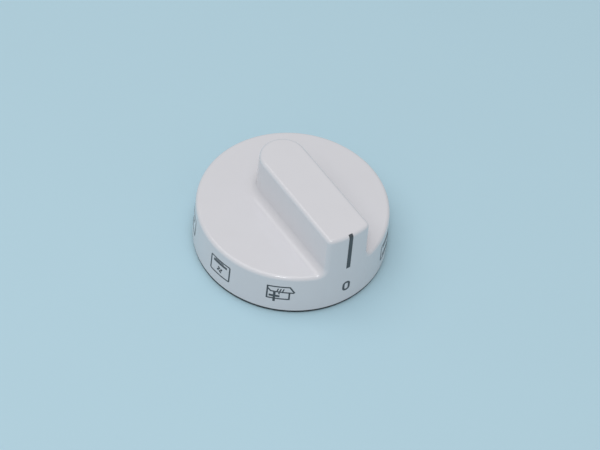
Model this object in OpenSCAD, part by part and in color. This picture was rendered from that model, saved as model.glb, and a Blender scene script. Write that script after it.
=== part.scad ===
// Control knob of a built-in oven: a hollow white cap with a bar grip, a dark insert that carries
// the shaft socket and snaps into the cap's foot, and a steel spring that grips the shaft.
// The knob lies on z = 0, the plane of the control panel, with the shaft's axis on Z.
// The pointer end of the grip faces -Y.

/* [Skirt and face] */
// Diameter of the skirt at its foot
skirt_d = 50; // [46:0.5:56]
// Height of the skirt, from its foot to the face
skirt_h = 12.2; // [11.5:0.1:14]
// Lean of the skirt and of the grip's front towards the axis, in degrees
draft = 1.7; // [1:0.1:2.5]
// Radius of the rim between skirt and face
rim_r = 1.1; // [0.6:0.1:1.6]
// Wall thickness of the cap
wall = 2; // [1.6:0.1:2.4]

/* [Grip] */
// Height of the grip above the face
grip_h = 12.5; // [10:0.1:15]
// Width of the grip across its top
grip_w = 12.2; // [11.6:0.1:14]
// Draft of the grip's sides, in degrees
grip_draft = 1; // [0.5:0.1:2]
// Distance from the axis to the centre of the grip's round back end
back_y = 5.9; // [4:0.1:9]
// Radius of the hollow at the foot of the grip
grip_foot_r = 2.2; // [1:0.1:4]
// Radius of the grip's top edge
grip_edge_r = 1; // [0.5:0.1:1.5]
// Radius of the upright corners of the grip's front
corner_r = 1.2; // [0.6:0.1:1.6]

/* [Insert] */
// Height of the dark flange that shows under the skirt
flange_h = 0.9; // [0.6:0.1:1.4]
// Step in from the skirt's foot to the flange's edge
flange_step = 0.15; // [0.05:0.05:0.5]
// Diameter of the hub
hub_d = 12; // [11:0.5:14]
// Diameter of the round shaft
shaft_d = 6; // [5.8:0.1:6.2]
// Thickness of the D-shaped shaft end, from its flat to its round side
shaft_flat = 4.6; // [4.4:0.1:4.8]
// Diameter of the round mouth ahead of the D-shaped socket
mouth_d = 7; // [6.8:0.1:7.4]
// Depth of the round mouth
mouth_h = 4; // [3:0.1:5]
// Width of each snap hook along the skirt
hook_w = 6; // [4:0.5:8]

/* [Spring] */
// Thickness of the spring strip
strip_t = 0.35; // [0.25:0.05:0.4]
// Width of the spring strip
strip_w = 3.3; // [2.8:0.1:3.4]

/* [Hidden] */
$fn = 96;

ARC_STEPS = 8;      // straight steps in a quarter of a small edge
SINK = 1.5;         // depth to which a raised form is rooted in the one below it
CUT = 1;            // how far a cutter runs past what it cuts

// Clearances of the assembly
snap_gap = 0.1;     // between the cap's inside and the insert
face_gap = 0.2;     // between the hub and the underside of the face
bore_gap = 0.05;    // round the shaft in its socket
spring_gap = 0.1;   // below the spring, in its pocket

// Levels
skirt_z = flange_h;
face_z = skirt_z + skirt_h;
roof_z = face_z - wall;
top_z = face_z + grip_h;
hub_z = 1;
hub_top_z = roof_z - face_gap;
mouth_z = hub_z + mouth_h;
key_z = face_z + 7;
socket_z = key_z - 1.5;

// Skirt
skirt_r = skirt_d / 2;
inner_round = 0.8;  // where the skirt's inside meets the roof
front_wall = wall + 0.2;

// Grip
grip_half = grip_w / 2;
grip_wall = wall - 0.1;
cavity_half = grip_half - grip_wall;
cavity_round = 0.8;
tail_r = 2;         // carries the hollow at the grip's foot over the rim
corner_start = 0.7; // where the front's upright rounds begin, as a share of the hollow's radius
run_out = 68;       // slope at the lower end of those rounds, in degrees
rib_t = 1.2;        // ribs across the grip's hollow
rib_ys = [-18, -13];

// Insert
flange_in_r = 20.4;
flange_edge = 0.3;  // chamfer of its lower edge
flange_top_z = flange_h + 0.3;
ring_t = 1.2;
ring_z = skirt_z + 4.4;
gusset_t = 1.6;
gusset_foot_z = flange_top_z - 0.1;
gusset_top_r = hub_d / 2 + 3;
key_t = 1.6;        // cross-plates of the key
key_front_y = -gusset_top_r;
key_back_y = back_y - 0.5;
key_half = cavity_half - snap_gap;

// Snap hooks, and the pockets in the cap that they seat in
HOOK_ANGLES = [45:90:315];
hook_z = skirt_z + 4;
hook_h = 1.4;
hook_step = 0.1;    // from the ring's top edges in to the hook
hook_out = 0.7;
hook_ramp = 0.2;    // rise of the nose's underside
hook_edge = 0.3;    // blunt edge of the nose
hook_slot = 0.8;    // free space on either side of a hook
hook_slot_z = flange_h + 0.9;
catch_depth = 0.8;
catch_gap = 0.1;    // below the hook
catch_room = 0.3;   // above the hook and at each of its ends

// Socket and spring
mouth_chamfer = 0.6;
shaft_r = shaft_d / 2 + bore_gap;
flat_y = shaft_flat - shaft_d / 2 + bore_gap;
pocket_half = strip_w / 2 + bore_gap;
pocket_y = 3.2;     // the pocket's far wall, from the axis
pocket_room = 1.5;  // above the spring
spring_z = mouth_z + spring_gap;
spring_h = 10;
leg_y = flat_y + strip_t / 2 + 0.2;         // ends of the spring's bowed leg
leg_gap = pocket_y - strip_t / 2 - leg_y;   // between the spring's two legs
bow_r = 26;         // of the leg that presses on the shaft's flat

// Radius of the cap's outside at height z
function skirt_at(z) = skirt_r - (z - skirt_z) * tan(draft);

// Half-width of a grip wall with the given half-width at the top, at height z
function grip_at(half, top, z) = half + (top - z) * tan(grip_draft);

// Points of a round stretch about c, from angle a to angle b
function arc(c, r, a, b, steps = ARC_STEPS) =
    [for (i = [0:steps]) c + r * [cos(a + (b - a) * i / steps), sin(a + (b - a) * i / steps)]];

// Half section of the cap's drafted outside, set in by inset, with a rounded upper edge
function drafted_outline(inset, bottom, top, edge) =
    let (centre = [skirt_at(top - edge) - inset - edge / cos(draft), top - edge])
    concat([[0, bottom], [skirt_at(bottom) - inset, bottom]],
           arc(centre, edge, draft, 90),
           [[0, top]]);

// Half section of the grip, from a level inside the face to its rounded upper edge
function grip_outline(half, bottom, top, edge) =
    let (centre = [grip_at(half, top, top - edge) - edge / cos(grip_draft), top - edge])
    concat([[0, bottom], [grip_at(half, top, bottom), bottom]],
           arc(centre, edge, grip_draft, 90),
           [[0, top]]);

// Half section of the grip's outside, with the hollow at its foot
function grip_foot_outline() =
    let (lift = face_z + grip_foot_r,
         foot = [grip_at(grip_half, top_z, lift) + grip_foot_r / cos(grip_draft), lift],
         edge = [grip_at(grip_half, top_z, top_z - grip_edge_r) - grip_edge_r / cos(grip_draft),
                 top_z - grip_edge_r])
    concat([[0, face_z - SINK]],
           arc([foot[0], face_z - tail_r], tail_r, asin(1 - SINK / tail_r), 90),
           arc(foot, grip_foot_r, 270, 180 + grip_draft),
           arc(edge, grip_edge_r, grip_draft, 90),
           [[0, top_z]]);

// A long bar with this half section, round at the back and open-ended past the skirt in front
module bar(outline) {
    translate([0, back_y, 0]) {
        rotate([90, 0, 0])
            linear_extrude(skirt_r + back_y + CUT) {
                polygon(outline);
                mirror([1, 0]) polygon(outline);
            }
        rotate_extrude(angle = 180) polygon(outline);
    }
}

// Wedge that leaves the round on one upright corner of the grip's front.
// It runs out at the hollow at the grip's foot.
module corner_cutter() {
    low = corner_at(face_z + corner_start * grip_foot_r);
    run = corner_at(top_z + CUT) - low;
    lean = acos(run[2] / norm(run));
    turn = atan2(run[1], run[0]);
    side = atan2(low[0], -low[1]);
    difference() {
        translate(low)
            rotate([0, 0, turn]) rotate([0, lean, 0]) rotate([0, 0, -turn])
                translate([0, 0, -CUT])
                    linear_extrude(norm(run) + CUT)
                        polygon(concat([[CUT, -CUT]], corner_arc(side)));
        translate(low)
            rotate([0, 0, (side - 90) / 2]) rotate([0, run_out, 0])
                translate([-grip_w, -grip_w / 2, -grip_w])
                    cube(grip_w);
    }
}

// Meeting point of the grip's side and the cap's drafted outside, at height z
function corner_at(z) =
    let (x = grip_at(grip_half, top_z, z))
    [x, -sqrt(pow(skirt_at(z), 2) - x * x), z];

// Round of the upright corner in plan, measured from the corner's point
function corner_arc(side) =
    let (centre = [-corner_r, corner_r * (1 - sin(side)) / cos(side)])
    arc(centre, corner_r, side - 90, 0);

// Ring that leaves the round rim where it is taken from the edge of the face
module rim_cutter() {
    centre = [skirt_at(face_z - rim_r) - rim_r / cos(draft), face_z - rim_r];
    rotate_extrude()
        polygon(concat([[skirt_r + CUT, centre[1]]],
                       arc(centre, rim_r, draft, 90),
                       [[centre[0], face_z + CUT], [skirt_r + CUT, face_z + CUT]]));
}

// The drafted outside of the cap, from the skirt's foot to the grip's top, with all above the
// face but the grip taken away
module cap_outside() {
    difference() {
        intersection() {
            rotate_extrude()
                polygon(drafted_outline(0, skirt_z, top_z, grip_edge_r));
            union() {
                cylinder(r = skirt_r + CUT, h = face_z);
                bar(grip_foot_outline());
            }
        }
        difference() {
            rim_cutter();
            bar(grip_foot_outline());
        }
        for (m = [0, 1])
            mirror([m, 0, 0]) corner_cutter();
    }
}

module cap_hollow() {
    rotate_extrude()
        polygon(drafted_outline(wall, skirt_z - CUT, roof_z, inner_round));
    difference() {
        intersection() {
            bar(grip_outline(cavity_half, roof_z - SINK, top_z - wall, cavity_round));
            rotate_extrude()
                polygon(drafted_outline(front_wall, roof_z - SINK, top_z - wall, cavity_round));
        }
        for (y = rib_ys)
            translate([-grip_half, y - rib_t / 2, roof_z])
                cube([grip_w, rib_t, grip_h]);
    }
}

// Arc of a ring about the axis, centred on azimuth a, with the given half section and chord width
module ring_part(a, width, r) {
    half = asin(width / 2 / r);
    rotate([0, 0, a - half])
        rotate_extrude(angle = 2 * half)
            children();
}

module cap() {
    color("white")
        difference() {
            cap_outside();
            cap_hollow();
            for (a = HOOK_ANGLES)
                ring_part(a, hook_w + 2 * catch_room, skirt_r - wall)
                    translate([skirt_r - wall - CUT, hook_z - catch_gap])
                        square([CUT + catch_depth, catch_gap + hook_h + catch_room]);
        }
}

// Half section of the snap-in ring and the flange under the skirt
function ring_outline() =
    let (out = wall + snap_gap)
    [[flange_in_r, 0],
     [skirt_r - flange_step - flange_edge, 0],
     [skirt_r - flange_step, flange_edge],
     [skirt_r - flange_step, flange_h],
     [skirt_at(skirt_z) - out, flange_h],
     [skirt_at(ring_z) - out, ring_z],
     [skirt_at(ring_z) - out - ring_t, ring_z],
     [skirt_at(skirt_z) - out - ring_t, flange_top_z],
     [flange_in_r, flange_top_z]];

// Half section of a hook above its tongue in the ring, with the nose that seats in the cap's pocket
function hook_outline() =
    let (r = skirt_at(ring_z) - wall - snap_gap - hook_step,
         in_r = r - ring_t + 2 * hook_step)
    [[in_r, ring_z - SINK],
     [r, ring_z - SINK],
     [r, hook_z],
     [r + hook_out, hook_z + hook_ramp],
     [r + hook_out, hook_z + hook_ramp + hook_edge],
     [r, hook_z + hook_h],
     [in_r, hook_z + hook_h]];

// Gusset in the plane of the axis, from the hub out to the ring
module gusset() {
    end_r = skirt_at(ring_z) - wall - snap_gap - ring_t / 2;
    rotate([90, 0, 0])
        linear_extrude(gusset_t, center = true)
            polygon([[hub_d / 2 - SINK, gusset_foot_z],
                     [end_r, gusset_foot_z],
                     [end_r, ring_z - ring_t / 2],
                     [gusset_top_r, hub_top_z],
                     [hub_d / 2 - SINK, hub_top_z]]);
}

// Shaft socket: a chamfered round mouth, then the D-shaped bore and the pocket for the spring
module socket() {
    translate([0, 0, hub_z - CUT])
        cylinder(d = mouth_d, h = mouth_h + CUT);
    translate([0, 0, hub_z - CUT])
        cylinder(d1 = mouth_d + 2 * (mouth_chamfer + CUT), d2 = mouth_d, h = mouth_chamfer + CUT);
    intersection() {
        translate([0, 0, mouth_z - CUT])
            cylinder(r = shaft_r, h = socket_z - mouth_z + CUT);
        translate([-skirt_r, -skirt_r, 0])
            cube([skirt_d, skirt_r + flat_y, top_z]);
    }
    translate([-pocket_half, 0, mouth_z - CUT])
        cube([2 * pocket_half, pocket_y, CUT + spring_gap + spring_h + pocket_room]);
}

// Stem above the hub, with a cross-plate at each end that turns the grip from inside
module key() {
    height = key_z - hub_top_z + SINK;
    translate([0, 0, hub_top_z - SINK]) {
        cylinder(r = key_half, h = height);
        translate([-key_t / 2, key_front_y, 0])
            cube([key_t, key_back_y - key_front_y, height]);
        for (y = [key_front_y, key_back_y])
            translate([-key_half, y - key_t / 2, 0])
                cube([2 * key_half, key_t, height]);
    }
}

module insert() {
    color("dimgray")
        difference() {
            union() {
                rotate_extrude() polygon(ring_outline());
                for (a = HOOK_ANGLES)
                    ring_part(a, hook_w + hook_slot, skirt_r - wall)
                        polygon(hook_outline());
                for (a = [0:90:270])
                    rotate([0, 0, a]) gusset();
                translate([0, 0, hub_z])
                    cylinder(d = hub_d, h = hub_top_z - hub_z);
                key();
            }
            socket();
            for (a = HOOK_ANGLES, y = [-hook_w / 2 - hook_slot, hook_w / 2])
                rotate([0, 0, a])
                    translate([flange_in_r, y, hook_slot_z])
                        cube([skirt_r - flange_in_r, hook_slot, ring_z]);
        }
}

// Middle line of the spring strip in the plane of the axis: up the outer leg from the fold,
// and from the fold up the bowed inner leg that presses on the shaft's flat
function spring_line() =
    let (r = leg_gap / 2,
         half = asin((spring_h - r) / 2 / bow_r),
         fold = [pocket_y - strip_t / 2 - r, spring_z + strip_t / 2 + r],
         bow = [fold[0] - r + bow_r * cos(half), fold[1] + bow_r * sin(half)])
    concat([[pocket_y - strip_t / 2, fold[1] + spring_h - r - 1]],
           arc(fold, r, 0, -180),
           arc(bow, bow_r, 180 + half, 180 - half));

// The strip along a line, half its thickness to either side
function strip_outline(line, t) =
    let (last = len(line) - 1,
         ways = [for (i = [0:last])
                    let (w = line[min(i + 1, last)] - line[max(i - 1, 0)]) w / norm(w)],
         left = [for (i = [0:last]) line[i] + t / 2 * [-ways[i][1], ways[i][0]]],
         right = [for (i = [last:-1:0]) line[i] - t / 2 * [-ways[i][1], ways[i][0]]])
    concat(left, right);

module spring() {
    color("silver")
        rotate([90, 0, 90])
            linear_extrude(strip_w, center = true)
                polygon(strip_outline(spring_line(), strip_t));
}

cap();
insert();
spring();
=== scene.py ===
"""Looks of a moulded oven control knob, laid out as an add-on around its packed CAD model."""

import math

import bmesh
import bpy
from bpy.props import FloatProperty, FloatVectorProperty, IntProperty, PointerProperty
from mathutils import Matrix, Vector


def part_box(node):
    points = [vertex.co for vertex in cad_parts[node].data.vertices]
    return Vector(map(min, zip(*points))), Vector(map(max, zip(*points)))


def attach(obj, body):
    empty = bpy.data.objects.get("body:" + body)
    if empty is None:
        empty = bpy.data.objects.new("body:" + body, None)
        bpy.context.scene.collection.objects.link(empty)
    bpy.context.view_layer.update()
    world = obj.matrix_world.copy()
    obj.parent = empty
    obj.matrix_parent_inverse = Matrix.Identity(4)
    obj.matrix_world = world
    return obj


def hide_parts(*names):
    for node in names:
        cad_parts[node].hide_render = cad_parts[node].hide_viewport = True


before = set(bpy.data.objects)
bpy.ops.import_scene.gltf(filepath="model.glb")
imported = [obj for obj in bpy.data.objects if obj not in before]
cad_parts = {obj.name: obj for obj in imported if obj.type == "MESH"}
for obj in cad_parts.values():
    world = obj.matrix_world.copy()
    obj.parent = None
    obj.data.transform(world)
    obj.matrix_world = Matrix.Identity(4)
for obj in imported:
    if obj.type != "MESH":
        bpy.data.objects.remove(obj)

bl_info = {
    "name": "Oven Control Knob",
    "version": (1, 0, 0),
    "blender": (4, 5, 0),
    "location": "3D View > Sidebar > Oven Knob",
    "description": "Builds the moulded cap, the printed scale and the finishes of an oven control knob",
    "category": "Object",
}

MM = 0.001
UP = (0, 0, 1)
WELD = 0.002 * MM       # points closer than this are one
ON_LEVEL = 0.01 * MM    # how near a level or a surface a point counts as being on it
CAP_LOW, CAP_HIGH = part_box("cap")

# Steps and small sizes of the cap
FILLET_STEPS = 8
OUTER_STEPS, INNER_STEPS, FOOT_STEPS = 6, 4, 2    # round the edges
BACK_STEPS = 24         # round the grip's back end
TOP_CUTS = 3            # in each half of the top's front edge
FLAT_SHARE = 1.2        # reach of the grip's half section past its side, in fillets
FRONT_LEAN = 0.21       # share by which the skirt's lines below the grip lean in
WALL_SHARE = 0.9        # of the foot's radius: the skirt's wall lies outside this
SHARP_ANGLE = math.radians(50)
INNER_FILLET = 0.4 * MM
FOOT_EDGE = 0.15 * MM
RIB_PLACES = (-18 * MM, -13 * MM)
CATCH_WIDTH = 6.6 * MM
CATCH_LEVELS = (4.8 * MM, 6.6 * MM)
CATCH_RADIUS = 23.8 * MM
CATCH_SPARE = 0.1       # how far past a catch the wall is cut, in radians

# Steps of the print
INK_STEP = 0.3 * MM     # longest straight step round the skirt
INK_ROOT = 0.04 * MM    # depth of the ink below the moulding's surface
INK_RISE = 0.002 * MM   # rise from one mark to the next, so that crossing marks share no plane
CORNER_STEPS = 6
DISC_SIDES, RING_SIDES = 20, 36

# Sizes of the symbols' marks and of the zero, from the middle of each symbol
BOX_CORNER = 0.55 * MM
BAR_REACH = 0.34        # half of a bar's length, as a share of the box's width
BAR_INSET = 1.3 * MM    # from the box's outside to a bar's middle
BAR_WEIGHT = 0.75 * MM
THIN_BAR = ((-1.9 * MM, 2.12 * MM), (1.2 * MM, 2.12 * MM), 0.24 * MM)    # start, end and width
BLADES = 4
BLADE_PLACE = 0.62 * MM                        # from the fan's middle to a blade's
BLADE_REACH, BLADE_WIDTH = 0.5 * MM, 0.27 * MM    # halves
BLADE_START, BLADE_TWIST = math.radians(20), math.radians(35)
FAN_LOW, FAN_HIGH = -0.65 * MM, 0.6 * MM       # where the fan shares the box with a bar
RING_RADIUS = 1.7 * MM
GRILL_LEVEL, GRILL_HEIGHT = 0.95 * MM, 0.75 * MM
GRILL_TEETH = 8
ZERO_WIDTH, ZERO_HEIGHT = 1.13 * MM, 1.68 * MM    # halves
ZERO_LINE, ZERO_CORNER = 0.62 * MM, 1.08 * MM

# The stretch of a noise's values in which nearly all of its patches lie
NOISE_LOW, NOISE_HIGH = 0.3, 0.7

# The camera, as worked out from the outlines of the knob in the photograph
PHOTO_WIDTH, PHOTO_HEIGHT = 600, 450
FOCAL_PIXELS = 2500
CAMERA_DISTANCE = 0.642
CAMERA_AZIMUTH = math.radians(-38.57)
CAMERA_ELEVATION = math.radians(49.97)
CAMERA_ROLL = math.radians(6.53)
FOOT_PIXEL = (289.7, 234.1)    # where the middle of the skirt's foot shows

# Lamps: name, place as distance, azimuth and elevation, diameter, and share of the light
LAMPS = (
    ("softbox", (1.3, -105, 76), 1.5, 0.44),
    ("lamp", (0.75, -42, 58), 0.12, 0.12),
)
SURROUND_COLOUR = (0.97, 0.985, 1.0)
SURROUND_STRENGTH = 0.46


def linear_rgb(code):
    """Linear colour of an sRGB hex code such as #dddde0."""
    shares = [int(code[i:i + 2], 16) / 255 for i in (1, 3, 5)]
    return tuple(s / 12.92 if s <= 0.04045 else ((s + 0.055) / 1.055) ** 2.4 for s in shares)


def length(name, description, default):
    """A length property, with its default in metres."""
    return FloatProperty(name=name, description=description, default=default, min=0,
                         subtype="DISTANCE", unit="LENGTH", precision=5)


def slope(name, description, degrees):
    """An angle property, with its default in degrees."""
    return FloatProperty(name=name, description=description, default=math.radians(degrees),
                         subtype="ANGLE", unit="ROTATION")


def tint(name, description, code):
    """A colour property, with its default as an sRGB hex code."""
    return FloatVectorProperty(name=name, description=description, default=linear_rgb(code),
                               min=0, max=1, size=3, subtype="COLOR")


class OvenKnobCapSizes(bpy.types.PropertyGroup):
    """Sizes of the white cap."""

    face_height: length("Face Height", "From the skirt's foot to the face", 12.2 * MM)
    wall: length("Wall", "Thickness of the moulding", 2 * MM)
    draft: slope("Skirt Draft", "Lean of the skirt and of the grip's front towards the axis", 1.7)
    grip_width: length("Grip Width", "Width of the grip across its top", 12.2 * MM)
    grip_draft: slope("Grip Draft", "Lean of the grip's sides", 1)
    grip_back: length("Grip Back", "From the axis to the centre of the grip's round end", 5.9 * MM)
    foot_fillet: length("Foot Fillet", "Radius of the hollow at the grip's foot", 2.2 * MM)
    edge_round: length("Edge Round", "Radius of the outer edges", 1.05 * MM)
    inner_round: length("Inner Round", "Radius of the edges inside", 0.8 * MM)
    rib: length("Rib", "Thickness of the ribs across the grip's hollow", 1.2 * MM)
    rim_steps: IntProperty(name="Rim Steps", description="Straight steps round the rim",
                           default=120, min=24, max=360)


class OvenKnobPrintSizes(bpy.types.PropertyGroup):
    """Sizes of the printed scale."""

    line: length("Line", "Weight of the symbols' lines", 0.42 * MM)
    pitch: slope("Pitch", "Turn from one position of the knob to the next", 40)
    zero_middle: length("Zero Middle", "Height of the zero's middle above the skirt's foot", 5.7 * MM)
    middle: length("Middle", "Height of the symbols' middle above the skirt's foot", 6.0 * MM)
    box_width: length("Box Width", "Width of the symbols' oven box", 7.0 * MM)
    box_height: length("Box Height", "Height of the symbols' oven box", 5.6 * MM)
    pointer: length("Pointer", "Width of the pointer line", 1.15 * MM)
    pointer_low: length("Pointer Foot", "Length from the skirt's foot up to the line's foot", 12.6 * MM)
    pointer_high: length("Pointer Head", "Length from the skirt's foot up to the line's head", 24.9 * MM)
    ink: length("Ink", "Height of the ink above the moulding", 0.02 * MM)


class OvenKnobColours(bpy.types.PropertyGroup):
    """Colours of the mouldings, the ink and the floor."""

    cap: tint("Cap", "Colour of the cap", "#dedde1")
    # Partly painted shade: the insert's own dark colour is set a little darker, so that its rim below the
    # skirt's foot also stands for the shade in the gap there.
    insert: tint("Insert", "Colour of the insert", "#202326")
    ink: tint("Ink", "Colour of the print", "#454b50")
    spring: tint("Spring", "Colour of the steel spring", "#c9c7c2")
    floor: tint("Floor", "Colour of the floor", "#b9d9e6")


def only(kind, geometry):
    """The elements of one kind, such as vertices, in an operator's result."""
    return [g for g in geometry if isinstance(g, kind)]


def new_piece(name, bm, material):
    """An object with the finished mesh and one material, that rides on the knob."""
    bmesh.ops.recalc_face_normals(bm, faces=bm.faces)
    mesh = bpy.data.meshes.new(name)
    bm.to_mesh(mesh)
    bm.free()
    mesh.materials.append(material)
    piece = bpy.data.objects.new(name, mesh)
    bpy.context.scene.collection.objects.link(piece)
    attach(piece, "root")
    return piece


# Materials

def add_node(tree, kind, inputs=None, **settings):
    """A node with its settings, and its inputs as values or as the sockets that feed them."""
    node = tree.nodes.new(kind)
    for name, value in settings.items():
        setattr(node, name, value)
    for name, value in (inputs or {}).items():
        if isinstance(value, bpy.types.NodeSocket):
            tree.links.new(value, node.inputs[name])
        else:
            node.inputs[name].default_value = value
    return node


def new_material(name):
    """An empty material, and the place on the object that its patterns are drawn from."""
    material = bpy.data.materials.new(name)
    material.use_nodes = True
    tree = material.node_tree
    tree.nodes.clear()
    place = add_node(tree, "ShaderNodeTexCoord").outputs["Object"]
    return material, tree, place


def shaded(colour, share=1.0):
    """The colour at a share of its light, as a socket takes it."""
    return (*(c * share for c in colour), 1)


def cap_material(colours):
    # White ABS from a polished mould: a clear gloss over a body that scatters light a little,
    # with the long soft waves of a moulded skin and faint traces of handling in the gloss.
    material, tree, place = new_material("abs_moulded_gloss")
    flow = add_node(tree, "ShaderNodeTexNoise", {"Vector": place, "Scale": 1 / (9 * MM)})
    tone = add_node(tree, "ShaderNodeMapRange", {
        "Value": flow.outputs["Fac"], "From Min": NOISE_LOW, "From Max": NOISE_HIGH})
    colour = add_node(tree, "ShaderNodeMix", {
        0: tone.outputs["Result"], 6: shaded(colours.cap, 0.985), 7: shaded(colours.cap)}, data_type="RGBA")
    touch = add_node(tree, "ShaderNodeTexNoise", {
        "Vector": place, "Scale": 1 / (3.5 * MM), "Detail": 5, "Roughness": 0.65})
    gloss = add_node(tree, "ShaderNodeMapRange", {
        "Value": touch.outputs["Fac"], "From Min": NOISE_LOW, "From Max": NOISE_HIGH,
        "To Min": 0.09, "To Max": 0.18})
    wave = add_node(tree, "ShaderNodeTexNoise", {"Vector": place, "Scale": 1 / (5 * MM), "Detail": 1})
    relief = add_node(tree, "ShaderNodeBump", {
        "Height": wave.outputs["Fac"], "Distance": 0.012 * MM, "Strength": 1})
    shader = add_node(tree, "ShaderNodeBsdfPrincipled", {
        "Base Color": colour.outputs[2], "Roughness": gloss.outputs["Result"],
        "Normal": relief.outputs["Normal"], "IOR": 1.53})
    add_node(tree, "ShaderNodeOutputMaterial", {"Surface": shader.outputs["BSDF"]})
    return material


def insert_material_with_painted_shade(colours):
    # Dark glass-filled polyamide from a spark-eroded mould: a fine even grain that breaks the light
    # into a soft sheen, and slightly paler flow marks. The grain is drawn at 0.25 mm, twice its size,
    # so that it shows.
    material, tree, place = new_material("polyamide_dark_with_painted_shade")
    flow = add_node(tree, "ShaderNodeTexNoise", {
        "Vector": place, "Scale": 1 / (6 * MM), "Detail": 4, "Roughness": 0.6})
    tone = add_node(tree, "ShaderNodeMapRange", {
        "Value": flow.outputs["Fac"], "From Min": NOISE_LOW, "From Max": NOISE_HIGH})
    # Painted shade in part: the insert's own dark colour is set a little darker, so that its rim below the
    # skirt's foot also stands for the shade in the gap there.
    colour = add_node(tree, "ShaderNodeMix", {
        0: tone.outputs["Result"], 6: shaded(colours.insert, 0.85), 7: shaded(colours.insert, 1.2)},
        data_type="RGBA")
    grain = add_node(tree, "ShaderNodeTexNoise", {"Vector": place, "Scale": 1 / (0.25 * MM)})
    gloss = add_node(tree, "ShaderNodeMapRange", {
        "Value": grain.outputs["Fac"], "From Min": NOISE_LOW, "From Max": NOISE_HIGH,
        "To Min": 0.42, "To Max": 0.6})
    relief = add_node(tree, "ShaderNodeBump", {
        "Height": grain.outputs["Fac"], "Distance": 0.02 * MM, "Strength": 1})
    shader = add_node(tree, "ShaderNodeBsdfPrincipled", {
        "Base Color": colour.outputs[2], "Roughness": gloss.outputs["Result"],
        "Normal": relief.outputs["Normal"], "IOR": 1.52})
    add_node(tree, "ShaderNodeOutputMaterial", {"Surface": shader.outputs["BSDF"]})
    return material


def spring_material(colours):
    # Cold-rolled spring steel: bright, with fine rolling lines along the strip that draw its
    # highlights out across it.
    material, tree, place = new_material("spring_steel_rolled")
    along = add_node(tree, "ShaderNodeMapping", {"Vector": place, "Scale": (1, 1, 0.04)})
    lines = add_node(tree, "ShaderNodeTexNoise", {
        "Vector": along.outputs["Vector"], "Scale": 1 / (0.12 * MM), "Detail": 3})
    tone = add_node(tree, "ShaderNodeMapRange", {
        "Value": lines.outputs["Fac"], "From Min": NOISE_LOW, "From Max": NOISE_HIGH})
    colour = add_node(tree, "ShaderNodeMix", {
        0: tone.outputs["Result"], 6: shaded(colours.spring, 0.8), 7: shaded(colours.spring)},
        data_type="RGBA")
    gloss = add_node(tree, "ShaderNodeMapRange", {
        "Value": lines.outputs["Fac"], "From Min": NOISE_LOW, "From Max": NOISE_HIGH,
        "To Min": 0.22, "To Max": 0.38})
    relief = add_node(tree, "ShaderNodeBump", {
        "Height": lines.outputs["Fac"], "Distance": 0.004 * MM, "Strength": 1})
    shader = add_node(tree, "ShaderNodeBsdfPrincipled", {
        "Base Color": colour.outputs[2], "Roughness": gloss.outputs["Result"],
        "Normal": relief.outputs["Normal"], "Metallic": 1})
    add_node(tree, "ShaderNodeOutputMaterial", {"Surface": shader.outputs["BSDF"]})
    return material


def ink_material(colours):
    # Two-part printing ink from a soft pad: a flat dark grey film that is a little thinner in
    # places, where the white below makes it paler.
    material, tree, place = new_material("pad_printed_ink_matt")
    film = add_node(tree, "ShaderNodeTexNoise", {
        "Vector": place, "Scale": 1 / (0.35 * MM), "Detail": 3, "Roughness": 0.6})
    tone = add_node(tree, "ShaderNodeMapRange", {
        "Value": film.outputs["Fac"], "From Min": NOISE_LOW, "From Max": NOISE_HIGH})
    colour = add_node(tree, "ShaderNodeMix", {
        0: tone.outputs["Result"], 6: shaded(colours.ink, 0.9), 7: shaded(colours.ink, 1.18)},
        data_type="RGBA")
    gloss = add_node(tree, "ShaderNodeMapRange", {
        "Value": film.outputs["Fac"], "From Min": NOISE_LOW, "From Max": NOISE_HIGH,
        "To Min": 0.38, "To Max": 0.52})
    relief = add_node(tree, "ShaderNodeBump", {
        "Height": film.outputs["Fac"], "Distance": 0.004 * MM, "Strength": 1})
    shader = add_node(tree, "ShaderNodeBsdfPrincipled", {
        "Base Color": colour.outputs[2], "Roughness": gloss.outputs["Result"],
        "Normal": relief.outputs["Normal"], "IOR": 1.5})
    add_node(tree, "ShaderNodeOutputMaterial", {"Surface": shader.outputs["BSDF"]})
    return material


# The moulded cap

class DraftedForm:
    """A drafted cup with a bar grip on its face: the cap's outside, and again its inside."""

    def __init__(self, sizes, inset, fillet, edge, edge_steps):
        self.foot_z = CAP_LOW.z
        self.foot_r = CAP_HIGH.x - inset
        self.face_z = CAP_LOW.z + sizes.face_height - inset
        self.top_z = CAP_HIGH.z - inset
        self.half = sizes.grip_width / 2 - inset
        self.draft = sizes.draft
        self.grip_draft = sizes.grip_draft
        self.back_y = sizes.grip_back
        self.fillet = fillet
        self.edge = edge
        self.edge_steps = edge_steps
        self.rim_steps = sizes.rim_steps

    def radius(self, z):
        """Radius of the skirt's cone at height z."""
        return self.foot_r - (z - self.foot_z) * math.tan(self.draft)

    def grip_half(self, z):
        """Half-width of the grip at height z."""
        return self.half + (self.top_z - z) * math.tan(self.grip_draft)

    def front(self, x, z):
        """Point of the cone on the pointer side."""
        return Vector((x, -math.sqrt(self.radius(z) ** 2 - x * x), z))

    def skin(self, rise):
        """Radius, height and lean of the outside, at a length up the skirt and over the top's round."""
        start = min(rise, self.top_z - self.edge)
        lean = (rise - start) / self.edge
        r = self.radius(start) - self.edge * (1 - math.cos(lean))
        return r, start + self.edge * math.sin(lean), lean

    def at_level(self, edge, z):
        """Whether the edge lies at height z."""
        return all(abs(v.co.z - z) < ON_LEVEL for v in edge.verts)


def outside_form(sizes):
    """The form of the cap's outside."""
    return DraftedForm(sizes, 0, sizes.foot_fillet, sizes.edge_round, OUTER_STEPS)


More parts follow.
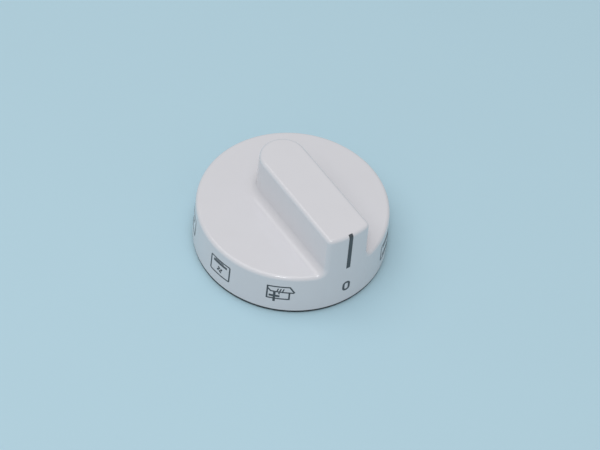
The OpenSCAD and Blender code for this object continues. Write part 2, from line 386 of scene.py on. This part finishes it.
def draw_grip(bm, form):
    """Spins the grip's half section round its back end and draws both sides out to the cone."""
    low, high = form.grip_half(form.face_z), form.grip_half(form.top_z)
    corners = [(low + form.fillet * FLAT_SHARE, form.face_z), (low, form.face_z),
               (high, form.top_z), (0, form.top_z)]
    chain = [bm.verts.new((x, form.back_y, z)) for x, z in corners]
    for start, end in zip(chain, chain[1:]):
        bm.edges.new((start, end))
    bmesh.ops.bevel(bm, geom=[chain[1]], affect="VERTICES", offset=form.fillet, offset_type="OFFSET",
                    segments=FILLET_STEPS, profile=0.5, material=-1)
    section = list(bm.edges)
    turned = bmesh.ops.spin(bm, geom=list(bm.verts) + section, cent=(0, form.back_y, 0), axis=UP,
                            angle=math.pi, steps=BACK_STEPS, use_duplicate=False)
    for side in (section, only(bmesh.types.BMEdge, turned["geom_last"])):
        forward = bmesh.ops.extrude_edge_only(bm, edges=side)
        for v in only(bmesh.types.BMVert, forward["geom"]):
            v.co = form.front(v.co.x, v.co.z)
    bmesh.ops.remove_doubles(bm, verts=bm.verts, dist=WELD)
    ends = [e for e in bm.edges if e.is_boundary and form.at_level(e, form.top_z)]
    bmesh.ops.subdivide_edges(bm, edges=ends, cuts=TOP_CUTS)
    for v in bm.verts:
        if abs(v.co.z - form.top_z) < ON_LEVEL and v.co.y < -form.foot_r / 2:
            v.co = form.front(v.co.x, v.co.z)


def draw_face(bm, form, reach):
    """Spins the rim from one side of the grip round the back to the other and fills the face."""
    rim = bm.verts.new(form.front(reach, form.face_z))
    turn = 2 * math.pi - 2 * math.asin(reach / form.radius(form.face_z))
    bmesh.ops.spin(bm, geom=[rim], cent=(0, 0, 0), axis=UP, angle=turn, steps=form.rim_steps,
                   use_duplicate=False)
    bmesh.ops.remove_doubles(bm, verts=bm.verts, dist=WELD)
    outline = []
    for e in bm.edges:
        a, b = e.verts
        along = abs(a.co.x - b.co.x) < ON_LEVEL or min(a.co.y, b.co.y) > form.back_y - ON_LEVEL
        if form.at_level(e, form.face_z) and (e.is_wire or e.is_boundary and along):
            outline.append(e)
    bmesh.ops.contextual_create(bm, geom=outline)


def draw_skirt(bm, form, reach):
    """Extrudes the outer edge down to the foot. Its front lines lean in, clear of the corners' rounds."""
    edge_loop = [e for e in bm.edges if e.is_boundary]
    down = bmesh.ops.extrude_edge_only(bm, edges=edge_loop)
    rise = form.top_z - form.face_z
    for v in only(bmesh.types.BMVert, down["geom"]):
        lean = FRONT_LEAN * (v.co.z - form.face_z) / rise
        stretch = form.foot_r / form.radius(v.co.z)
        if v.co.y < 0 and abs(v.co.x) < reach + ON_LEVEL:
            v.co = form.front(v.co.x * stretch * (1 - lean), form.foot_z)
        else:
            v.co = Vector((v.co.x * stretch, v.co.y * stretch, form.foot_z))


def drafted_form(form):
    """The whole form as one open shell, with its outer edges rounded."""
    bm = bmesh.new()
    reach = form.grip_half(form.face_z) + form.fillet * FLAT_SHARE
    draw_grip(bm, form)
    draw_face(bm, form, reach)
    draw_skirt(bm, form, reach)
    bmesh.ops.recalc_face_normals(bm, faces=bm.faces)
    sharp = [e for e in bm.edges if len(e.link_faces) == 2 and e.calc_face_angle() > SHARP_ANGLE]
    bmesh.ops.bevel(bm, geom=sharp, affect="EDGES", offset=form.edge, offset_type="OFFSET",
                    segments=form.edge_steps, profile=0.5, material=-1, loop_slide=False,
                    clamp_overlap=False, miter_outer="SHARP")
    for v in bm.verts:
        r = math.hypot(v.co.x, v.co.y)
        want = form.radius(v.co.z)
        if abs(r - want) < 3 * ON_LEVEL:
            v.co.x *= want / r
            v.co.y *= want / r
    return bm


def cut_faces(bm, faces, place, normal):
    """Cuts these faces along a plane."""
    parts = {g for f in faces for g in (f, *f.edges, *f.verts)}
    bmesh.ops.bisect_plane(bm, geom=list(parts), dist=ON_LEVEL / 10, plane_co=place, plane_no=normal)


def add_ribs(bm, form, thickness):
    """Cuts the grip's hollow across and closes it on both sides of each rib."""
    for middle in RIB_PLACES:
        sides = [middle - thickness / 2, middle + thickness / 2]
        for y in sides:
            above = [f for f in bm.faces if f.calc_center_median().z > form.face_z + ON_LEVEL]
            cut_faces(bm, above, (0, y, 0), (0, 1, 0))
        between = [f for f in bm.faces if sides[0] < f.calc_center_median().y < sides[1]
                   and f.calc_center_median().z > form.face_z + ON_LEVEL]
        bmesh.ops.delete(bm, geom=between, context="FACES")
        gap = [e for e in bm.edges if e.is_boundary and not form.at_level(e, form.foot_z)]
        feet = []
        for y in sides:
            loop = [e for e in gap if all(abs(v.co.y - y) < ON_LEVEL for v in e.verts)]
            low = [v for v in {v for e in loop for v in e.verts} if abs(v.co.z - form.face_z) < ON_LEVEL]
            feet.append(bm.edges.new(low))
            bmesh.ops.contextual_create(bm, geom=loop + feet[-1:])
        bmesh.ops.contextual_create(bm, geom=feet + [e for e in gap if form.at_level(e, form.face_z)])


def add_catches(bm, form):
    """Sinks the four pockets for the insert's hooks into the skirt's inside."""
    half = math.asin(CATCH_WIDTH / 2 / form.foot_r)
    low, high = CATCH_LEVELS
    for corner in range(4):
        turn = math.radians(45 + 90 * corner)
        out = Vector((math.cos(turn), math.sin(turn)))

        def on_wall(f, spare):
            c = f.calc_center_median()
            aside = abs(out.angle_signed(c.xy, math.pi))
            outside = c.xy.length > form.foot_r * WALL_SHARE
            return aside < half + spare and outside and c.z < form.face_z - form.edge

        def in_band(f, spare):
            return on_wall(f, spare) and low < f.calc_center_median().z < high

        for z in CATCH_LEVELS:
            cut_faces(bm, [f for f in bm.faces if on_wall(f, CATCH_SPARE)], (0, 0, z), UP)
        for side in (turn - half, turn + half):
            cut_faces(bm, [f for f in bm.faces if in_band(f, CATCH_SPARE)], (0, 0, 0),
                      (-math.sin(side), math.cos(side), 0))
        window = [f for f in bm.faces if in_band(f, 0)]
        sunk = bmesh.ops.extrude_face_region(bm, geom=window)
        for v in only(bmesh.types.BMVert, sunk["geom"]):
            v.co.xy *= CATCH_RADIUS / v.co.xy.length
        bmesh.ops.delete(bm, geom=[f for f in window if f.is_valid], context="FACES")


def cap_mesh(sizes):
    """The outside and the inside, joined at the skirt's foot."""
    bm = drafted_form(outside_form(sizes))
    form = DraftedForm(sizes, sizes.wall, INNER_FILLET, sizes.inner_round, INNER_STEPS)
    inside = drafted_form(form)
    add_ribs(inside, form, sizes.rib)
    add_catches(inside, form)
    shell = bpy.data.meshes.new("inside")
    inside.to_mesh(shell)
    inside.free()
    bm.from_mesh(shell)
    bpy.data.meshes.remove(shell)
    foot = bmesh.ops.triangle_fill(bm, edges=[e for e in bm.edges if e.is_boundary], use_beauty=True)
    bmesh.ops.join_triangles(bm, faces=only(bmesh.types.BMFace, foot["geom"]),
                             angle_face_threshold=math.pi, angle_shape_threshold=math.pi)
    bmesh.ops.recalc_face_normals(bm, faces=bm.faces)
    foot_edges = [e for e in bm.edges if form.at_level(e, form.foot_z) and e.calc_face_angle() > SHARP_ANGLE]
    bmesh.ops.bevel(bm, geom=foot_edges, affect="EDGES", offset=FOOT_EDGE, offset_type="OFFSET",
                    segments=FOOT_STEPS, profile=0.5, material=-1)
    return bm


# The printed scale

def flat_frame(bm, points, line, corner=0.0):
    """A line of ink along the inside of a closed outline, with rounded corners."""
    chain = [bm.verts.new((x, y, 0)) for x, y in points]
    edges = [bm.edges.new(pair) for pair in zip(chain, chain[1:] + chain[:1])]
    if corner:
        bmesh.ops.bevel(bm, geom=chain, affect="VERTICES", offset=corner, offset_type="OFFSET",
                        segments=CORNER_STEPS, profile=0.5, material=-1)
    for e in [e for e in bm.edges if e.is_wire]:
        bmesh.ops.subdivide_edges(bm, edges=[e], cuts=int(e.calc_length() / INK_STEP))
    loop = [e for e in bm.edges if e.is_wire]
    inner = bmesh.ops.contextual_create(bm, geom=loop)["faces"]
    bmesh.ops.inset_region(bm, faces=inner, thickness=line, use_boundary=True, use_even_offset=True)
    bmesh.ops.delete(bm, geom=inner, context="FACES")


def flat_zigzag(bm, start, run, rise, teeth, line):
    """A zigzag line of ink, as for a grill."""
    points = [(start[0] + run * i / teeth, start[1] + rise * (i % 2), 0) for i in range(teeth + 1)]
    chain = [bm.verts.new(point) for point in points]
    edges = [bm.edges.new(pair) for pair in zip(chain, chain[1:])]
    bmesh.ops.subdivide_edges(bm, edges=edges, cuts=1)
    raised = bmesh.ops.extrude_edge_only(bm, edges=[e for e in bm.edges if e.is_wire])
    bmesh.ops.translate(bm, verts=only(bmesh.types.BMVert, raised["geom"]), vec=(0, line, 0))


def art_place(middle, turn, half_width, half_height):
    """Matrix that scales, turns and places a flat shape of the size 1 about the origin."""
    return (Matrix.Translation(Vector(middle).to_3d()) @ Matrix.Rotation(turn, 4, "Z")
            @ Matrix.Diagonal((half_width, half_height, 1, 1)))


def flat_bar(bm, start, end, width):
    """A straight bar of ink from start to end, with square ends."""
    start, end = Vector(start), Vector(end)
    run = end - start
    place = art_place((start + end) / 2, math.atan2(run.y, run.x), run.length / 2, width / 2)
    bmesh.ops.create_grid(bm, x_segments=max(1, round(run.length / INK_STEP)),
                          y_segments=max(1, round(width / INK_STEP)), size=1, matrix=place)


def flat_disc(bm, middle, half_width, half_height, turn=0.0):
    """A filled round or oval spot of ink."""
    bmesh.ops.create_circle(bm, cap_ends=True, cap_tris=True, segments=DISC_SIDES, radius=1,
                            matrix=art_place(middle, turn, half_width, half_height))


def flat_ring(bm, middle, radius, line):
    """A ring of ink."""
    bmesh.ops.create_circle(bm, cap_ends=True, segments=RING_SIDES, radius=radius,
                            matrix=art_place(middle, 0, 1, 1))
    inner = [f for f in bm.faces if len(f.verts) == RING_SIDES]
    bmesh.ops.inset_region(bm, faces=inner, thickness=line, use_boundary=True, use_even_offset=True)
    bmesh.ops.delete(bm, geom=inner, context="FACES")


def oven_box(sizes):
    """The outline of the oven."""
    w, h = sizes.box_width / 2, sizes.box_height / 2
    return [(flat_frame, [(-w, -h), (w, -h), (w, h), (-w, h)], sizes.line, BOX_CORNER)]


def heat_bar(sizes, side):
    """A thick bar along the box's top or bottom, for the heat on that side."""
    w, y = sizes.box_width * BAR_REACH, side * (sizes.box_height / 2 - BAR_INSET)
    return [(flat_bar, (-w, y), (w, y), BAR_WEIGHT)]


def hot_air(level=0):
    """A fan with its middle at a level."""
    marks = []
    for blade in range(BLADES):
        turn = BLADE_START + 2 * math.pi * blade / BLADES
        middle = (BLADE_PLACE * math.cos(turn), level + BLADE_PLACE * math.sin(turn))
        marks.append((flat_disc, middle, BLADE_REACH, BLADE_WIDTH, turn + BLADE_TWIST))
    return marks


def grill(sizes):
    """A zigzag below the box's top."""
    w = sizes.box_width * BAR_REACH
    return [(flat_zigzag, (-w, GRILL_LEVEL), 2 * w, GRILL_HEIGHT, GRILL_TEETH, sizes.line)]


def lidded_box(sizes):
    """An open box on a foot, with a lid that reaches past its right side."""
    line = sizes.line
    lid = [(-3.6, 1.75), (-2.6, 0.6), (3.3, 0.6), (3.7, 1.0), (2.35, 3.1), (-3.6, 2.75)]
    bars = [((-3.39, 2.2), (-3.39, -2.02), line), ((-3.39, -1.84), (2.25, -1.64), line),
            ((2.25, 0.8), (2.25, -1.84), line), ((-1.52, 0.8), (-1.52, -2.9), 0.62 * MM),
            ((-2.9, -0.8), (-0.15, -0.8), 0.7 * MM), ((-0.35, 0.8), (-0.35, 0.0), 0.34 * MM)]
    bars += [((x - 0.15, 1.0), (x + 0.15, 2.05), 0.3 * MM) for x in (-0.75, -0.05, 0.65)]
    marks = [(flat_frame, [(x * MM, y * MM) for x, y in lid], line)]
    for (ax, ay), (bx, by), width in bars:
        marks.append((flat_bar, (ax * MM, ay * MM), (bx * MM, by * MM), width))
    return marks


def symbols(sizes):
    """The marks of each position's symbol, as seen from outside, in order round the knob."""
    box = oven_box(sizes)
    thin = [(flat_bar, *THIN_BAR)]
    ring = [(flat_ring, (0, 0), RING_RADIUS, sizes.line)]
    return {
        1: box + heat_bar(sizes, 1) + heat_bar(sizes, -1),
        2: box + heat_bar(sizes, -1),
        3: box + ring + hot_air(),
        4: box + grill(sizes),
        5: box + heat_bar(sizes, -1) + hot_air(FAN_HIGH),
        6: box + hot_air(),
        7: box + heat_bar(sizes, 1) + thin + hot_air(FAN_LOW),
        8: lidded_box(sizes),
    }


def zero():
    """The digit at the pointer's foot."""
    w, h = ZERO_WIDTH, ZERO_HEIGHT
    return [(flat_frame, [(-w, -h), (w, -h), (w, h), (-w, h)], ZERO_LINE, ZERO_CORNER)]


def printed_mesh(marks, ink, form, turn, middle):
    """The marks as closed slabs of ink, laid round the cap's outside at a turn and a height."""
    bm = bmesh.new()
    for order, (draw, *values) in enumerate(marks):
        before = set(bm.faces)
        draw(bm, *values)
        flat = [f for f in bm.faces if f not in before]
        raised = bmesh.ops.extrude_face_region(bm, geom=flat, use_keep_orig=True)
        height = INK_ROOT + ink + order * INK_RISE
        bmesh.ops.translate(bm, verts=only(bmesh.types.BMVert, raised["geom"]), vec=(0, 0, height))
    for v in bm.verts:
        r, z, lean = form.skin(form.foot_z + middle + v.co.y)
        out = v.co.z - INK_ROOT
        around = turn + v.co.x / form.radius(form.foot_z + middle)
        r += out * math.cos(lean)
        v.co = Vector((r * math.sin(around), -r * math.cos(around), z + out * math.sin(lean)))
    return bm


# Operators

class OBJECT_OT_oven_knob_cap(bpy.types.Operator):
    """Build the moulded cap with its hollow, ribs and catches"""

    bl_idname = "object.oven_knob_cap"
    bl_label = "Build Cap"

    def execute(self, context):
        bm = cap_mesh(context.scene.oven_knob_cap)
        holes = [e for e in bm.edges if not e.is_manifold]
        if holes:
            raise RuntimeError(f"the cap isn't closed at {len(holes)} edges")
        piece = new_piece("cap_moulding", bm, cap_material(context.scene.oven_knob_colours))
        piece.data.shade_smooth()
        piece.data.set_sharp_from_angle(angle=SHARP_ANGLE)
        normals = piece.modifiers.new("Normals", "WEIGHTED_NORMAL")
        normals.keep_sharp = True
        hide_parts("cap")
        return {"FINISHED"}


class OBJECT_OT_oven_knob_insert(bpy.types.Operator):
    """Finish the dark insert and its steel spring"""

    bl_idname = "object.oven_knob_insert"
    bl_label = "Finish Insert and Spring"

    def execute(self, context):
        colours = context.scene.oven_knob_colours
        for name, make in (("insert", insert_material_with_painted_shade), ("spring", spring_material)):
            material = make(colours)
            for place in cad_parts[name].material_slots:
                place.material = material
        return {"FINISHED"}


class OBJECT_OT_oven_knob_pointer(bpy.types.Operator):
    """Print the pointer line and the zero"""

    bl_idname = "object.oven_knob_pointer"
    bl_label = "Print Pointer and Zero"

    def execute(self, context):
        sizes = context.scene.oven_knob_print
        form = outside_form(context.scene.oven_knob_cap)
        material = ink_material(context.scene.oven_knob_colours)
        half = (sizes.pointer_high - sizes.pointer_low) / 2
        line = [(flat_bar, (0, -half), (0, half), sizes.pointer)]
        bm = printed_mesh(line, sizes.ink, form, 0, sizes.pointer_low + half)
        new_piece("print_pointer", bm, material)
        bm = printed_mesh(zero(), sizes.ink, form, 0, sizes.zero_middle)
        new_piece("print_zero", bm, material)
        return {"FINISHED"}


class OBJECT_OT_oven_knob_symbols(bpy.types.Operator):
    """Print the oven symbols round the skirt"""

    bl_idname = "object.oven_knob_symbols"
    bl_label = "Print Symbols"

    def execute(self, context):
        sizes = context.scene.oven_knob_print
        form = outside_form(context.scene.oven_knob_cap)
        material = bpy.data.materials["pad_printed_ink_matt"]
        for position, marks in symbols(sizes).items():
            bm = printed_mesh(marks, sizes.ink, form, position * sizes.pitch, sizes.middle)
            new_piece(f"print_position_{position}", bm, material)
        return {"FINISHED"}


class OBJECT_OT_oven_knob_stage(bpy.types.Operator):
    """Set up the floor, the studio light and the camera"""

    bl_idname = "object.oven_knob_stage"
    bl_label = "Set Up Stage"

    def execute(self, context):
        add_floor(context)
        add_light(context)
        add_camera(context)
        return {"FINISHED"}


# Stage

def floor_material(colours):
    # Matt emulsion paint on a smooth board: pale, and very slightly uneven.
    material, tree, place = new_material("board_painted_matt")
    paint = add_node(tree, "ShaderNodeTexNoise", {"Vector": place, "Scale": 1 / (60 * MM)})
    tone = add_node(tree, "ShaderNodeMapRange", {
        "Value": paint.outputs["Fac"], "From Min": NOISE_LOW, "From Max": NOISE_HIGH})
    colour = add_node(tree, "ShaderNodeMix", {
        0: tone.outputs["Result"], 6: shaded(colours.floor, 0.99), 7: shaded(colours.floor)},
        data_type="RGBA")
    shader = add_node(tree, "ShaderNodeBsdfPrincipled", {
        "Base Color": colour.outputs[2], "Roughness": 0.6})
    add_node(tree, "ShaderNodeOutputMaterial", {"Surface": shader.outputs["BSDF"]})
    return material


def add_floor(context):
    """A painted board under the knob."""
    bm = bmesh.new()
    bmesh.ops.create_grid(bm, x_segments=1, y_segments=1, size=3)
    mesh = bpy.data.meshes.new("floor")
    bm.to_mesh(mesh)
    bm.free()
    mesh.materials.append(floor_material(context.scene.oven_knob_colours))
    floor = bpy.data.objects.new("floor", mesh)
    context.scene.collection.objects.link(floor)


def polar(distance, azimuth, elevation):
    """Point at a distance from the knob. Azimuth 0 is on the pointer's side."""
    flat = distance * math.cos(elevation)
    return Vector((flat * math.sin(azimuth), -flat * math.cos(azimuth), distance * math.sin(elevation)))


def add_light(context):
    """A broad softbox overhead, a small lamp by the camera and an even pale surround."""
    world = bpy.data.worlds.new("studio")
    world.use_nodes = True
    surround = world.node_tree.nodes["Background"]
    surround.inputs["Color"].default_value = (*SURROUND_COLOUR, 1)
    surround.inputs["Strength"].default_value = SURROUND_STRENGTH
    context.scene.world = world
    for name, (distance, azimuth, elevation), size, share in LAMPS:
        lamp = bpy.data.lights.new(name, "AREA")
        lamp.shape = "DISK"
        lamp.size = size
        # This power lights a surface that faces the lamp to that share of its written colour.
        lamp.energy = share * math.pi ** 2 * distance ** 2
        obj = bpy.data.objects.new(name, lamp)
        obj.location = polar(distance, math.radians(azimuth), math.radians(elevation))
        obj.rotation_euler = obj.location.to_track_quat("Z", "Y").to_euler()
        context.scene.collection.objects.link(obj)


def add_camera(context):
    """The photograph's camera. It is turned a little so that the foot's middle lies where it does there."""
    back = polar(1, CAMERA_AZIMUTH, CAMERA_ELEVATION)
    level = Vector((math.cos(CAMERA_AZIMUTH), math.sin(CAMERA_AZIMUTH), 0))
    roll = Matrix.Rotation(CAMERA_ROLL, 3, back)
    right, top = roll @ level, roll @ back.cross(level)
    aim = (PHOTO_WIDTH / 2 - FOOT_PIXEL[0]) * right + (FOOT_PIXEL[1] - PHOTO_HEIGHT / 2) * top
    toward = (aim / FOCAL_PIXELS - back).normalized()
    side = toward.cross(top).normalized()
    turn = Matrix((side, side.cross(toward), -toward)).transposed()
    camera = bpy.data.cameras.new("camera")
    camera.sensor_width = 36
    camera.lens = FOCAL_PIXELS / PHOTO_WIDTH * camera.sensor_width
    camera.clip_start = 0.01
    obj = bpy.data.objects.new("camera", camera)
    obj.matrix_world = Matrix.Translation(back * CAMERA_DISTANCE + Vector((0, 0, CAP_LOW.z))) @ turn.to_4x4()
    context.scene.collection.objects.link(obj)
    context.scene.camera = obj


STEPS = (OBJECT_OT_oven_knob_cap, OBJECT_OT_oven_knob_insert, OBJECT_OT_oven_knob_pointer,
         OBJECT_OT_oven_knob_symbols, OBJECT_OT_oven_knob_stage)


class VIEW3D_PT_oven_knob(bpy.types.Panel):
    """Lists the knob's steps and sizes"""

    bl_label = "Oven Knob"
    bl_idname = "VIEW3D_PT_oven_knob"
    bl_space_type = "VIEW_3D"
    bl_region_type = "UI"
    bl_category = "Oven Knob"

    def draw(self, context):
        for step in STEPS:
            self.layout.operator(step.bl_idname)
        for group in GROUPS:
            sizes = getattr(context.scene, group)
            self.layout.label(text=GROUPS[group].__doc__.rstrip("."))
            for name in GROUPS[group].__annotations__:
                self.layout.prop(sizes, name)


GROUPS = {
    "oven_knob_cap": OvenKnobCapSizes,
    "oven_knob_print": OvenKnobPrintSizes,
    "oven_knob_colours": OvenKnobColours,
}


def register():
    for kind in (*GROUPS.values(), *STEPS, VIEW3D_PT_oven_knob):
        bpy.utils.register_class(kind)
    for name, kind in GROUPS.items():
        setattr(bpy.types.Scene, name, PointerProperty(type=kind))


def unregister():
    for name in GROUPS:
        delattr(bpy.types.Scene, name)
    for kind in reversed((*GROUPS.values(), *STEPS, VIEW3D_PT_oven_knob)):
        bpy.utils.unregister_class(kind)


def main():
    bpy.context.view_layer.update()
    register()
    bpy.context.scene.view_settings.view_transform = "Standard"
    bpy.ops.object.oven_knob_cap()
    bpy.ops.object.oven_knob_insert()
    bpy.ops.object.oven_knob_pointer()
    bpy.ops.object.oven_knob_symbols()
    bpy.ops.object.oven_knob_stage()


if __name__ == "__main__":
    main()
